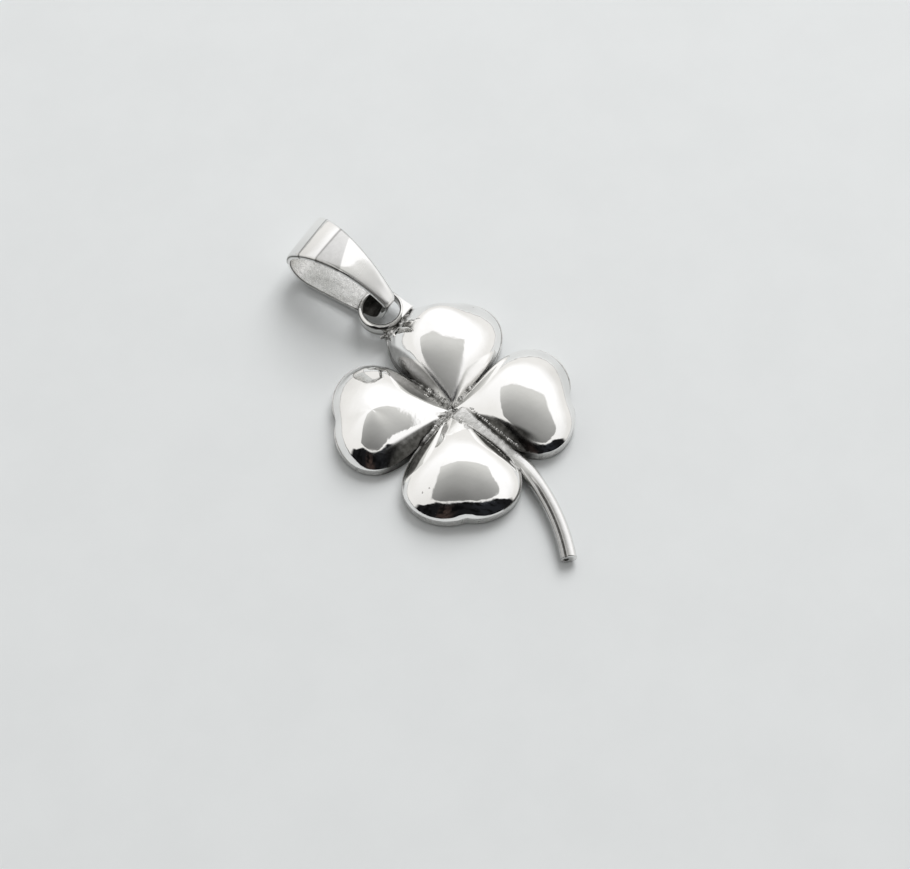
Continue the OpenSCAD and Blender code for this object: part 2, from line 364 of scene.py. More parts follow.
def leaf_points(cols, levels, turn, dome):
    """Closed surface of one leaf, and each point's step up from the dome's foot. Level rows run
    from the middle of the underside over the edge and up the dome. At climb c, from 0 to 90
    degrees, the radius round the crown is the edge's with its dent times (1 - c / 90)^dent_fade,
    with its k-th wave times exp(-(k smooth (c / 90)^power)^2 / 2), made oval by 1 + (c / 90)^2
    (along cos 2a + askew sin 2a), and times the share cos(c)^draw. Where the flank faces away,
    full share^4 (1 - share) is added to the share, and a narrow hem is taken off close to the
    edge. The height is rim + rise sin(c)^flank. The step is below 0 on the underside and the
    rim, and 1 on the seam."""
    out, aside, rise, smooth, power, flank, draw, rim, along, askew, full, further, deep = dome
    t = np.sin(np.linspace(-1, 1, 4001) * np.pi / 2) * SPREAD
    a = np.linspace(-np.pi, np.pi, cols, endpoint=False)
    lines = []
    for dent in (deep * DENT, 0.0):
        edge = edge_radius(t, dent)
        x, y = edge * np.cos(t) - out, edge * np.sin(t) - aside
        seen = np.arctan2(y, x)
        order = np.argsort(seen)
        lines.append(np.interp(a, seen[order], np.hypot(x, y)[order], period=TURN))
    radius, plain = lines
    climb = np.linspace(0, 1, levels)[:, None] ** 1.15
    faded = plain + (radius - plain) * (1 - climb) ** DENT_FADE
    order = np.arange(cols // 2 + 1)[None, :]
    waves = np.fft.rfft(faded, axis=1) * np.exp(-((order * smooth * climb**power) ** 2) / 2)
    soft = np.fft.irfft(waves, cols, axis=1)
    soft = soft * (1 + climb**2 * (along * np.cos(2 * a) + askew * np.sin(2 * a)))
    c = climb * np.pi / 2
    share = np.maximum(np.cos(c), 0) ** draw
    far = smoothstep(-0.6, 0.7, np.cos(a + turn - FAR_TURN - np.radians(further)))
    high = soft * (share + full * far * share**4 * (1 - share))
    high = high - HEM * far * smoothstep(0.0, 0.03, climb) * (1 - climb) ** 2
    height = rim + rise * np.sin(c) ** flank
    # Underside and upright rim, as a share of the edge's radius and of the rim's height
    foot = np.array([[0.0, 0.0], [0.5, 0.0], [0.9, 0.0], [0.975, 0.0], [0.99, 0.02], [0.997, 0.05],
                     [1.0, 0.11], [1.0, 0.3], [1.0, 0.5], [1.0, 0.7], [1.0, 0.85], [0.9985, 0.95]])
    reach = np.concatenate([foot[:, :1] * radius[None, :], high])
    z = np.concatenate([foot[:, 1:] * rim, height]) + 0 * a[None, :]
    x, y = reach * np.cos(a) + out, reach * np.sin(a) + aside
    c, s = np.cos(turn), np.sin(turn)
    step = np.concatenate([np.full((len(foot), cols), -2.0), climb / (0.0104 + 0.02 * far)])
    return np.stack([x * c - y * s, x * s + y * c, z], -1), step


RING_R = RING_BORE / 2
RING_OUTER = RING_R + RING_BAND
RING_Y = edge_radius(np.radians(90 - LEAF_TURN), DENT) + RING_OUTER - RING_BITE
SEAT_R = RING_OUTER + SEAM_W


def cut_seat(grid):
    """Lowers what lies inside the ring's seat to the back plate, over a steep filed wall. Gives
    a mask of what is close to the seat, and one of what is clear of it."""
    away = np.hypot(grid[..., 0], grid[..., 1] - RING_Y)
    ragged = 0.05 * ripple_over(grid, (9, 9, 6), 2.0)
    inside = 1 - smoothstep(SEAT_R - 0.05, SEAT_R + 0.05, away + ragged)
    floor = np.minimum(grid[..., 2], BACK_T)
    grid[..., 2] += (floor - grid[..., 2]) * inside
    near = 1 - smoothstep(SEAT_R + 0.02, SEAT_R + 0.28, away + 2 * ragged)
    return near, smoothstep(SEAT_R + 0.1, SEAT_R + 0.6, away)


def line_mask(value, middle, width):
    """A soft ridge: exp(-((value - middle) / width)^2)."""
    return np.exp(-(((value - middle) / width) ** 2))


# Painted reflection and shade on the flanks in the grooves, one line a leaf: side, the degrees from
# the leaf's middle where it begins and is full, the height where it ends, and its share
FLANKS = [(1, 35.5, 37.5, 2.6, 0.66),
          (1, 30, 33, 2.0, 0.92),
          (-1, 36, 44, 1.8, 0.45),
          (-1, 29, 32, 2.4, 0.93)]
# How satin each leaf's inner tip is
SATIN_TIPS = [0.7, 0.0, 0.0, 0.0]


def leaf_masks(leaf, step, turn, flank):
    """Three masks. Cast skin: the rim and hem. Dark: painted reflection and shade on both flanks in
    the grooves, a line at the seam that is partly a dark joint and partly painted shade, painted
    contact shade at the rim's foot, dark grains on the rim, and faint dark patches at the outer end.
    Tip: the leaf's inner end. x runs out along the leaf and y across it."""
    x = leaf[..., 0] * np.cos(turn) + leaf[..., 1] * np.sin(turn)
    y = leaf[..., 1] * np.cos(turn) - leaf[..., 0] * np.sin(turn)
    z = leaf[..., 2]
    side, first, last, high, share = flank
    angle = side * np.degrees(np.arctan2(y, x))
    # Painted reflection of the dark room on one flank in the groove
    darkening = smoothstep(first, last, angle) * smoothstep(high, high - 0.25, z)
    darkening = darkening * smoothstep(0.9, 1.5, x) * smoothstep(5.6, 4.4, x)
    # Painted shade low on the other flank in the groove
    other = smoothstep(40, 45, np.abs(angle)) * smoothstep(1.3, 1.0, z) * smoothstep(5.4, 4.6, x)
    # A dark line at the seam, partly a dark joint and partly painted shade, and painted contact shade
    # at the rim's foot
    seam = 0.65 * line_mask(step, 1.0, 0.6) + 0.6 * smoothstep(0.14, 0.04, z)
    cast = 0.6 * smoothstep(1.1, 0.7, step)
    grain = ripple(7 * x, 7 * y, 9 * z, 2.0 + share)
    grain = grain + 0.5 * ripple(17 * x, 17 * y, 15 * z, 5.0 + share)
    seam = seam + 0.4 * smoothstep(0.2, 0.8, grain) * smoothstep(1.0, 0.6, step)
    tip = smoothstep(3.5, 2.3, x)
    patches = smoothstep(-0.5, 0.4, ripple(1.1 * x, 1.3 * y, z, 3.0 * side + share))
    outer_dark = OUTER_DARK * smoothstep(5.6, 7.0, x) * patches
    return cast, np.clip(np.maximum(share * darkening, 0.5 * other) + seam + outer_dark, 0, 1), tip


for number in range(4):
    cols, levels = (560, 130) if number == 0 else (400, 100)
    turn, dome = np.radians(LEAF_TURN + 90 * number), DOMES[number]
    leaf, step = leaf_points(cols, levels, turn, dome)
    rim, dark, tip = leaf_masks(leaf, step, turn, FLANKS[number])
    seat, clear = cut_seat(leaf)
    # The dark mask: the leaf's painted reflection and shade, and darker in and near the ring's seat
    clover_piece("leaf_%d" % (number + 1), leaf, grid_faces(*leaf.shape[:2]),
                 [("cast", np.maximum(seat, rim)), ("dark_skin_and_shade", np.maximum(dark * clear, 0.35 * seat)),
                  ("satin", SATIN_TIPS[number] * tip)])


# Stem
def arc_from(start, radius, turn):
    """End of an arc to the right that begins at (x, y, heading)."""
    x, y, heading = start
    return np.stack([x + radius * (np.sin(heading) - np.sin(heading - turn)),
                     y - radius * (np.cos(heading) - np.cos(heading - turn)),
                     heading - turn], -1)


def stem_route():
    """Points (x, y, heading) of the straight root, the knee and the long bend."""
    along = np.linspace(0.4, ROOT_LEN, 40)
    root = np.stack([along * np.cos(STEM_TURN), along * np.sin(STEM_TURN), 0 * along + STEM_TURN], -1)
    knee = arc_from(root[-1], KNEE_R, np.linspace(0, KNEE_BEND, 12)[1:])
    bend = arc_from(knee[-1], BEND_R, np.linspace(0, BEND_TURN, 90)[1:])
    return np.concatenate([root, knee, bend])


def stem_section(count):
    """Round-backed section (across, up), drawn in a little towards its underside."""
    a = np.linspace(0, TURN, count, endpoint=False) - np.pi / 2
    power = 0.85
    across = STEM_W / 2 * np.sign(np.cos(a)) * np.abs(np.cos(a)) ** power
    up = STEM_H / 2 + STEM_H / 2 * np.sign(np.sin(a)) * np.abs(np.sin(a)) ** power
    squeeze = 1 - 0.13 * smoothstep(0.5, 0.0, up)
    return np.stack([across * squeeze, up], -1)


def left_of_top(section):
    """Degrees from the stem's top to the left in the picture, round a point 0.3 mm up."""
    return -np.degrees(np.arctan2(section[:, 0], section[:, 1] - 0.3))[None, :]


def stem_points(count):
    """The section swept along the route, closed by the end face with the vent's hole. On the free
    stem a narrow groove splits a flange off the round back."""
    route = stem_route()
    section = stem_section(count)
    head = np.repeat(route[:, None, :], count, 1)
    shape = np.repeat(section[None], len(route), 0)
    free = smoothstep(*GROOVE_ROWS, np.arange(len(route)))[:, None]
    groove = 0.15 * line_mask(left_of_top(section), STEM_GROOVE, 8) * free
    shape = shape * (1 - 0.9 * groove[..., None])
    tip = route[-1]
    hole = np.array([-0.18, 0.42 * STEM_H])
    last = shape[-1]
    spoke = last - hole
    spoke = spoke / np.hypot(spoke[:, 0], spoke[:, 1])[:, None]
    steps = [(hole + (last - hole) * share, back) for share, back in
             ((0.985, -0.02), (0.93, 0.0), (0.7, 0.0), (0.45, 0.0))]
    steps += [(hole + spoke * radius, depth) for radius, depth in
              ((0.22, 0.0), (0.19, -0.03), (0.18, -0.15), (0.18, -0.8), (0.0, -0.8))]
    for points, depth in steps:
        place = tip + np.array([depth * np.cos(tip[2]), depth * np.sin(tip[2]), 0])
        head = np.concatenate([head, np.repeat(place[None, None], count, 1)])
        shape = np.concatenate([shape, points[None]])
    first = np.array([0.0, 0.5 * STEM_H]) + 0 * shape[:1]
    head = np.concatenate([head[:1], head])
    shape = np.concatenate([first, shape])
    x = head[..., 0] - shape[..., 0] * np.sin(head[..., 2])
    y = head[..., 1] + shape[..., 0] * np.cos(head[..., 2])
    return np.stack([x, y, shape[..., 1]], -1)


def stem_dark(points):
    """Painted shade low on both sides and in the groove beside the flange, and painted shade and
    reflection over the flange's side. The last nine rows are the end face, which is clean, and the
    vent in it, whose inside has painted shade."""
    rows = points.shape[0]
    left = left_of_top(stem_section(STEM_COLS))
    row = np.arange(rows)[:, None]
    free = smoothstep(*GROOVE_ROWS, row)
    darkening = 0.5 * line_mask(left, STEM_GROOVE, 5) * free
    darkening = darkening + 0.55 * smoothstep(0.16, 0.04, points[..., 2])
    darkening = darkening + 0.44 * smoothstep(-20, 4, left) * free
    darkening = darkening + 0.3 * smoothstep(0.5, 0.25, points[..., 2]) * (left > 50)
    return darkening * (row < rows - 9) + 1.0 * (row > rows - 5)


stem = stem_points(STEM_COLS)
root = smoothstep(6.1, 4.9, -stem[..., 1])
clover_piece("stem", stem, grid_faces(*stem.shape[:2]),
             [("cast", 0.08 + 0.7 * root), ("dark_skin_and_shade", np.clip(stem_dark(stem) + 0.1, 0, 1))])


# Bail. Its bends, as (along, up, radius)
brow = np.array([BROW_BEND, BROW_UP, BROW_BEND])
heel = np.array([HEEL_IN, -HEEL_DOWN, HEEL_BEND])
top = np.array([BAIL_LEN - TOP_BEND, 0, TOP_BEND])


def side_centre(a, b, radius):
    """Middle of the arc of that radius which touches bends a and b from outside."""
    way = b[:2] - a[:2]
    span = np.hypot(*way)
    f, t = radius - a[2], radius - b[2]
    along = (f * f - t * t + span * span) / (2 * span)
    across = np.sqrt(f * f - along * along)
    return a[:2] + (along * way + across * np.array([way[1], -way[0]])) / span


def bail_profile(count):
    """Points and outward normals of the rounded triangle, evenly spaced: three bends joined by
    three wide arcs that share their tangents."""
    sides = [(heel, brow, FOOT_R), (brow, top, FRONT_R), (top, heel, BACK_R)]
    centres = [side_centre(*s) for s in sides]
    points, normals = [], []

    def arc(middle, radius, first, last):
        """Adds an arc that turns clockwise from one direction to another."""
        a0 = np.arctan2(first[1], first[0])
        a1 = np.arctan2(last[1], last[0])
        if a1 > a0:
            a1 -= TURN
        a = np.linspace(a0, a1, 400, endpoint=False)
        out = np.stack([np.cos(a), np.sin(a)], -1)
        points.append(middle + radius * out)
        normals.append(out)

    for k, (start, stop, radius) in enumerate(sides):
        centre = centres[k]
        arc(centre, radius, start[:2] - centre, stop[:2] - centre)
        after = centres[(k + 1) % 3]
        arc(stop[:2], stop[2], stop[:2] - centre, stop[:2] - after)
    points, normals = np.concatenate(points), np.concatenate(normals)
    loop = np.concatenate([points, points[:1]])
    way = np.concatenate([[0], np.cumsum(np.hypot(*np.diff(loop, axis=0).T))])
    at = np.linspace(0, way[-1], count, endpoint=False)
    px, pz = (np.interp(at, way, loop[:, k]) for k in range(2))
    turned = np.concatenate([normals, normals[:1]])
    nx, nz = (np.interp(at, way, turned[:, k]) for k in range(2))
    size = np.hypot(nx, nz)
    return np.stack([px, pz], -1), np.stack([nx, nz], -1) / size[:, None]


def band_section(count):
    """Section of the band as (side from -1 to 1, pull in from that side, depth under the outer
    face): a slightly crowned outer face, wide soft bevels, short upright edges, a flat inside."""
    bevel, crown, low = 0.20, 0.03, 0.05
    a = np.linspace(0, np.pi / 2, count)
    soft_sin, soft_cos = np.sin(a) ** 1.35, np.cos(a) ** 1.35
    flat = np.linspace(-1, 1, 4 * count)[1:-1]
    one = 1 + 0 * a
    outer = np.stack([flat, bevel * np.abs(flat), crown * flat**4], -1)
    down = np.stack([one, bevel * (1 - soft_sin), crown + bevel * (1 - soft_cos)], -1)
    under = np.stack([one, low * (1 - np.cos(a)), WALL - low * (1 - np.sin(a))], -1)
    inner = np.stack([-flat, low * np.abs(flat), WALL + 0 * flat], -1)
    mirror = np.array([-1, 1, 1])
    return np.concatenate([outer, down, under, inner, (under * mirror)[::-1], (down * mirror)[::-1]])


# The bail's back lies on the surface, and the ring's underside just clears its wall there
back_middle = side_centre(top, heel, BACK_R)
BAIL_RISE = BACK_R - back_middle[1]
FOOT_BACK = RING_R - LINK_GAP
under_ring = FOOT_BACK + RING_R - back_middle[0]
RING_Z = BACK_R - np.sqrt(BACK_R**2 - under_ring**2) + WALL + UNDER_GAP


def bail_points(count, section):
    """The section carried round the profile. The band runs a little askew, and its two sides
    follow the taper seen from the front."""
    outer, normal = bail_profile(count)
    side, pull, depth = (section[:, k][None, :] for k in range(3))
    x = outer[:, :1] - depth * normal[:, :1]
    z = outer[:, 1:] - depth * normal[:, 1:]
    c, s = np.cos(BAIL_SKEW), np.sin(BAIL_SKEW)
    slope = (TOP_W - FOOT_W) / BAIL_LEN / 2
    high = ((FOOT_W / 2 + slope * x * c) - x * s) / (c + slope * s)
    low = (-(FOOT_W / 2 + slope * x * c) - x * s) / (c - slope * s)
    middle, half = (high + low) / 2, (high - low) / 2
    w = middle + side * half - np.sign(side) * pull
    px, py = x * c - w * s, x * s + w * c
    px, py = px - FOOT_BACK, py - BAIL_ASIDE
    a = np.pi / 2 + BAIL_TURN
    return np.stack([px * np.cos(a) - py * np.sin(a),
                     px * np.sin(a) + py * np.cos(a) + RING_Y, z + BAIL_RISE], -1)


section = band_section(10)
bail = bail_points(BAIL_ROWS, section)
outline, outward = bail_profile(BAIL_ROWS)
lean, rise = outward[:, :1], outward[:, 1:]
# Shallow dents in the cast inside
within = smoothstep(WALL - 0.06, WALL, section[:, 2]) * smoothstep(1.0, 0.8, np.abs(section[:, 0]))
dent = ripple_over(bail, (1.7, 1.7, 1.7), 7.0) + 0.25 * ripple_over(bail, (4.5, 4.5, 4.5), 2.5)
press = 0.022 * within[None, :] * dent
bail[..., 0] += press * lean * -np.sin(BAIL_TURN)
bail[..., 1] += press * lean * np.cos(BAIL_TURN)
bail[..., 2] += press * rise
front = rise > 0
side = section[None, :, 0] * np.ones_like(lean)
inside = smoothstep(WALL - 0.06, WALL - 0.01, section[:, 2])[None, :] * np.ones_like(lean)
# Painted reflection and shade: a grey zone on the top bend with two faint dark lines, all painted
# reflection, and dark lines at the inner and outer corners and dark inside the foot, all painted
# shade
grey = smoothstep(-0.012, 0.012, lean - 0.045 + 0.075 * side) * front
grey = grey * (0.34 + 0.10 * side - 0.28 * smoothstep(0.27, 0.33, lean))
# Two thin painted reflection lines across the top bend
painted_lines = 0.42 * line_mask(lean, 0.295 + 0.01 * side, 0.014) + 0.6 * line_mask(lean, 0.565, 0.012)
outside = 1 - inside
# Painted shade: dark lines at the inner corners and on the upright edges
edge = line_mask(section[:, 2], WALL, 0.012) * smoothstep(0.985, 0.995, np.abs(section[:, 0]))
rounded = np.abs(section[:, 0]) > 0.99
front_edge = line_mask(section[:, 2], 0.17, 0.05) * rounded
back_edge = line_mask(section[:, 2], 0.05, 0.04) * rounded
edge = edge[None, :] + np.where(front, front_edge[None, :], back_edge[None, :])
# Painted shade inside the foot
foot = inside * smoothstep(3.0, 2.2, outline[:, :1])
bail_dark = (grey + painted_lines * front) * outside + foot + 0.9 * edge
make_piece("bail", bail, quads(*bail.shape[:2], True), "bail", BAIL_SILVER,
           [("cast", 0.6 * inside), ("dark_skin_and_shade", np.clip(bail_dark, 0, 1)),
            ("satin", outside * front * smoothstep(-0.06, -0.32, lean))])


# Hanging ring, lug and solder. The ring's section, as (outward from the bore, up)
RING_SECTION = [(0.0, 0.08), (0.05, 0.0), (0.28, 0.0), (0.34, 0.10), (0.345, 0.32), (0.33, 0.50),
                (0.295, 0.585), (0.185, 0.70), (0.13, 0.74), (0.07, 0.75), (0.02, 0.72),
                (0.0, 0.66), (0.0, 0.36)]


def ring_points(rows):
    """The ring's section turned round the bore: upright walls, a flat underside, a soft inner
    shoulder and a wide bevel that falls to the outside. Its underside reaches lower on the
    camera's side."""
    section = spline_loop(RING_SECTION, 6)
    a = np.linspace(0, TURN, rows, endpoint=False)[:, None]
    radius = RING_R + np.clip(section[None, :, 0], 0, RING_BAND)
    up = section[None, :, 1]
    deep = 0.24 * smoothstep(-0.2, 0.8, np.cos(a - np.radians(215)))
    z = RING_Z + np.clip(up, 0, RING_H) - deep * smoothstep(0.4, 0.0, up)
    return np.stack([radius * np.cos(a), RING_Y + radius * np.sin(a), z], -1)


ring = ring_points(160)
band = np.hypot(ring[..., 0], ring[..., 1] - RING_Y) - RING_R
climb = ring[..., 2] - RING_Z
# Painted shade and reflection: dark on the lower bore wall, a dark band on the outer bevel, dark at
# the underside by the floor and along the hole's top edge
ring_dark = 0.75 * smoothstep(0.03, 0.0, band) * smoothstep(0.66, 0.55, climb)
ring_dark = ring_dark + 0.95 * line_mask(climb, 0.56, 0.07) * smoothstep(0.2, 0.25, band)
ring_dark = ring_dark + 0.6 * smoothstep(0.14, 0.0, climb)
ring_dark = ring_dark + 0.9 * smoothstep(0.12, 0.08, band) * smoothstep(0.5, 0.6, climb)
clover_piece("ring", ring, quads(*ring.shape[:2], True), [("dark_skin_and_shade", np.clip(ring_dark, 0, 1))])


def round_ring(radius, degrees):
    """A point in plan, at that radius and angle round the ring."""
    a = np.radians(degrees)
    return np.array([radius * np.cos(a), RING_Y + radius * np.sin(a)])


def slab_points(corners, low, high, count, bevel):
    """A flat plate with a bevelled top. Its outline is the polygon, sampled evenly, and the
    rows shrink it towards its middle."""
    loop = np.concatenate([corners, corners[:1]])
    way = np.concatenate([[0], np.cumsum(np.hypot(*np.diff(loop, axis=0).T))])
    at = np.linspace(0, way[-1], count, endpoint=False)
    line = np.stack([np.interp(at, way, loop[:, k]) for k in range(2)], -1)
    middle = line.mean(0)
    size = np.hypot(*(line - middle).T)[:, None]
    rows = [(1e3, low), (0.02, low), (0.0, low + 0.02), (0.0, high - bevel),
            (0.3 * bevel, high - 0.3 * bevel), (bevel, high), (1.6 * bevel, high), (1e3, high)]
    out = []
    for inset, z in rows:
        share = np.clip(1 - inset / size, 0, 1)
        spot = middle + (line - middle) * share
        out.append(np.concatenate([spot, np.full((count, 1), z)], 1))
    return np.stack(out)


lug = slab_points(
    np.array([round_ring(RING_OUTER - RING_BAND / 4, 20), round_ring(LUG_OUT, -28.5),
              round_ring(RING_OUTER, -61.5), round_ring(RING_R + RING_BAND / 4, -28.5)]),
    RING_Z, RING_Z + RING_H - RING_BAND / 4, 96, 0.05)
clover_piece("lug", lug, grid_faces(*lug.shape[:2]))


def solder_points(rows, cols):
    """A lumpy bead along an arc round the ring, rounded off at both ends."""
    t = np.linspace(0, 1, rows)[:, None]
    b = np.linspace(0, TURN, cols, endpoint=False)[None, :]
    a = np.radians(SOLDER_START + (SOLDER_END - SOLDER_START) * t)
    thick = 0.40 * np.sqrt(np.clip(1 - (2 * t - 1) ** 6, 0, 1))
    thick = thick * (1 + 0.38 * ripple(26 * t, 1.6 * np.cos(b), 1.6 * np.sin(b), 4.0))
    r = RING_OUTER + SEAM_W / 2 + thick * np.cos(b)
    z = RING_Z * (1.3 - 0.4 * t**3) + thick * np.sin(b)
    return np.stack([r * np.cos(a), RING_Y + r * np.sin(a), z], -1)


solder = solder_points(120, 48)
blotches = ripple_over(solder, (6, 6, 6), 1.0)
clover_piece("solder", solder, grid_faces(*solder.shape[:2]),
             [("cast", 0.7 + 0 * blotches), ("dark_skin_and_shade", np.clip(0.5 + 0.9 * blotches, 0, 0.9))])


# Solder webs between the leaves
def web_points(rows, cols, turn, start, reach, width, aside, high, low, flat, lumpy, seed):
    """A bumpy ridge along a direction: half a superellipse across, with lumps on top, whose height
    falls from high to low."""
    t = np.linspace(0, 1, rows)[:, None]
    b = np.linspace(0, TURN, cols, endpoint=False)[None, :]
    along = start + (reach - start) * t
    fade = np.sqrt(np.clip(1 - t**10, 0, 1)) * np.sqrt(np.clip(1 - (1 - t) ** 40, 0, 1))
    across = (aside + width / 2 * np.sign(np.cos(b)) * np.abs(np.cos(b)) ** flat) * fade
    lumps = ripple(9 * along + 3 * across, 11 * across, 0 * b, seed)
    lumps = lumpy * (lumps + 0.6 * ripple(19 * along - 8 * across, 21 * across, 0 * b, seed + 2))
    top = np.clip(np.sin(b), 0, 1) ** flat
    z = (high + (low - high) * t + lumps) * top * fade
    c, s = np.cos(turn), np.sin(turn)
    return np.stack([along * c - across * s, along * s + across * c, z], -1)


def web_dark(web, number):
    """Dark skin in blotches, and darker low down."""
    field = ripple_over(web, (7, 7, 5), 5.0 + number)
    return np.clip(0.25 + 0.7 * field + 0.5 * smoothstep(1.2, 0.9, web[..., 2]), 0, 0.9)


# One line a web: direction in degrees, start, reach, width, its middle's place aside, height at
# the start and at the end, power of the superellipse, height of the lumps, share of dark skin.
# Three lie between leaves, and two along the stem's root
WEBS = [(LEAF_TURN + 45, 0.0, 3.9, 0.50, 0.0, 1.30, 1.00, 1.0, 0.07, 1.0),
        (LEAF_TURN + 135, 0.0, 4.0, 0.55, 0.0, 1.30, 1.05, 1.0, 0.07, 1.0),
        (np.degrees(STEM_TURN), 0.3, 5.9, 1.50, -0.20, 1.75, 1.10, 0.5, 0.03, 0.3),
        (LEAF_TURN - 45, 0.0, 2.9, 0.50, 0.0, 1.30, 1.05, 1.0, 0.07, 1.0),
        (np.degrees(STEM_TURN), 1.4, 6.5, 1.00, -0.95, 2.02, 1.45, 0.6, 0.04, 0.3)]
for number, (direction, *shape, share) in enumerate(WEBS):
    web = web_points(200, 40, np.radians(direction), *shape, 3.0 + number)
    clover_piece("web_%d" % (number + 1), web, grid_faces(*web.shape[:2]),
                 [("cast", 0.85 + 0 * web[..., 0]), ("dark_skin_and_shade", share * web_dark(web, number))])


# Casting beads along the stem's root, lumps at the middle and a nub in each dent
def bead_cluster(name, centres, radii, seed, dim=0.25):
    """Lumpy balls as one mesh: each is r(1 + 0.25 ripple) along every direction. dim is taken off
    their dark skin."""
    rows, cols = 10, 16
    lat = np.linspace(0, np.pi, rows)[:, None]
    lon = np.linspace(0, TURN, cols, endpoint=False)[None, :]
    way = np.stack([np.sin(lat) * np.cos(lon), np.sin(lat) * np.sin(lon), np.cos(lat) + 0 * lon], -1)
    c, radius = centres[:, None, None, :], np.asarray(radii)[:, None, None]
    bumpy = 1 + 0.25 * ripple(way[..., 0] * 2 + c[..., 0] * 7, way[..., 1] * 2, way[..., 2] * 2, seed)
    balls = c + way * (radius * bumpy)[..., None]
    first = np.arange(len(centres))[:, None, None] * rows * cols
    faces = (grid_faces(rows, cols)[None] + first).reshape(-1, 4)
    darkening = 0.45 + 0.5 * ripple_over(balls, (5, 5, 5), seed)
    clover_piece(name, balls, faces,
                 [("cast", 0.35 + 0 * balls[..., 0]), ("dark_skin_and_shade", np.clip(darkening - dim, 0, 0.8))])


def polar_spots(turn, along, across, high):
    """Points at those distances along and across a direction in plan, at those heights."""
    c, s = np.cos(turn), np.sin(turn)
    spots = np.broadcast_arrays(along * c - across * s, along * s + across * c, high)
    return np.stack(spots, -1)


# How many lie on each side of the stem's root and on the solder, and how many at the middle
BEADS, MIDDLE_BEADS = 26, 30
# On both sides of the stem's root, about evenly spaced along it
bead = np.arange(BEADS)
along = 1.0 + 4.3 * (bead + 0.7 * hash_row(BEADS, 1.0)) / BEADS
across = 0.46 + 0.06 * hash_row(BEADS, 2.0)
up = 1.73 - 0.06 * along + 0.06 * hash_row(BEADS, 3.0)
bead_cluster("root_beads_right", polar_spots(STEM_TURN, along, across, up),
             0.045 + 0.06 * hash_row(BEADS, 4.0) ** 2, 1.0)
across = -0.85 + 0.3 * hash_row(BEADS, 5.0)
up = 1.71 - 0.06 * along + 0.06 * hash_row(BEADS, 6.0)
bead_cluster("root_beads_left", polar_spots(STEM_TURN, along, across, up),
             0.035 + 0.05 * hash_row(BEADS, 7.0) ** 2, 2.0)
# In the grooves at the middle
turn = np.radians(LEAF_TURN + 45) + np.radians(90) * (np.arange(MIDDLE_BEADS) % 4)
along = 0.15 + 1.9 * hash_row(MIDDLE_BEADS, 8.0)
across = 0.3 * (hash_row(MIDDLE_BEADS, 9.0) - 0.5)
up = 1.18 + 0.16 * hash_row(MIDDLE_BEADS, 10.0)
bead_cluster("middle_beads", polar_spots(turn, along, across, up),
             0.05 + 0.07 * hash_row(MIDDLE_BEADS, 11.0), 3.0)
# On the solder, over 84 degrees of the ring
turn = np.radians(SOLDER_START - 84 * (bead + 0.6 * hash_row(BEADS, 12.0)) / BEADS)
away = RING_OUTER + 0.10 + 0.42 * hash_row(BEADS, 13.0)
up = 0.82 + 0.26 * hash_row(BEADS, 14.0)
bead_cluster("solder_beads", np.stack([away * np.cos(turn), RING_Y + away * np.sin(turn), up], -1),
             0.09 + 0.11 * hash_row(BEADS, 15.0), 5.0, -0.1)
# Two in each dent
turn = np.radians(LEAF_TURN + 90 * np.arange(4))
notch = REACH - DENT * np.array([dome[-1] for dome in DOMES])
nubs = [polar_spots(turn, notch - 0.06, 0.1, 0.95), polar_spots(turn, notch, -0.12, 0.80)]
bead_cluster("dent_nubs", np.concatenate(nubs), [0.11, 0.08, 0.11, 0.12, 0.08, 0.07, 0.08, 0.1], 4.0)


# Floor
def floor_piece():
    """A wide pale sheet just under the part, with faint mottling."""
    half, down = 1.5, -2e-5
    corners = [(-half, -half, down), (half, -half, down), (half, half, down), (-half, half, down)]
    mesh = bpy.data.meshes.new("floor")
    mesh.from_pydata(corners, [], [(0, 1, 2, 3)])
    material = bpy.data.materials.new("floor")
    material.use_nodes = True
    tree = material.node_tree
    shader = tree.nodes["Principled BSDF"]
    place = tree.nodes.new("ShaderNodeTexCoord").outputs["Object"]
    mottle = noise(tree, place, 160, 4.0, 0.6)
    colour = mix_colour(tree, ramp(tree, mottle, 0.3, 0.7),
                        (0.83, 0.85, 0.855, 1), (0.85, 0.87, 0.875, 1))
    link(tree, colour, shader.inputs["Base Color"])
    link(tree, ramp(tree, mottle, 0.3, 0.7, 0.55, 0.7), shader.inputs["Roughness"])
    shader.inputs["Specular IOR Level"].default_value = 0.25
    mesh.materials.append(material)
    piece = bpy.data.objects.new("floor", mesh)
    bpy.context.scene.collection.objects.link(piece)


floor_piece()

# Camera: 110 mm from the point it looks at, steeply from above
AZIMUTH, ELEVATION = np.radians(-33.49), np.radians(64.15)
BACK = np.array([np.sin(AZIMUTH) * np.cos(ELEVATION), -np.cos(AZIMUTH) * np.cos(ELEVATION),
                 np.sin(ELEVATION)])
AIM = np.array([-0.703, -1.283, 0.0])
camera = bpy.data.objects.new("camera", bpy.data.cameras.new("camera"))
bpy.context.scene.collection.objects.link(camera)
bpy.context.scene.camera = camera
camera.data.sensor_width = 36
camera.data.lens = 65.49
camera.data.clip_start = 0.001
camera.data.clip_end = 10
camera.location = (AIM + 110 * BACK) * MM
camera.rotation_euler = (np.pi / 2 - ELEVATION, 0, AZIMUTH)


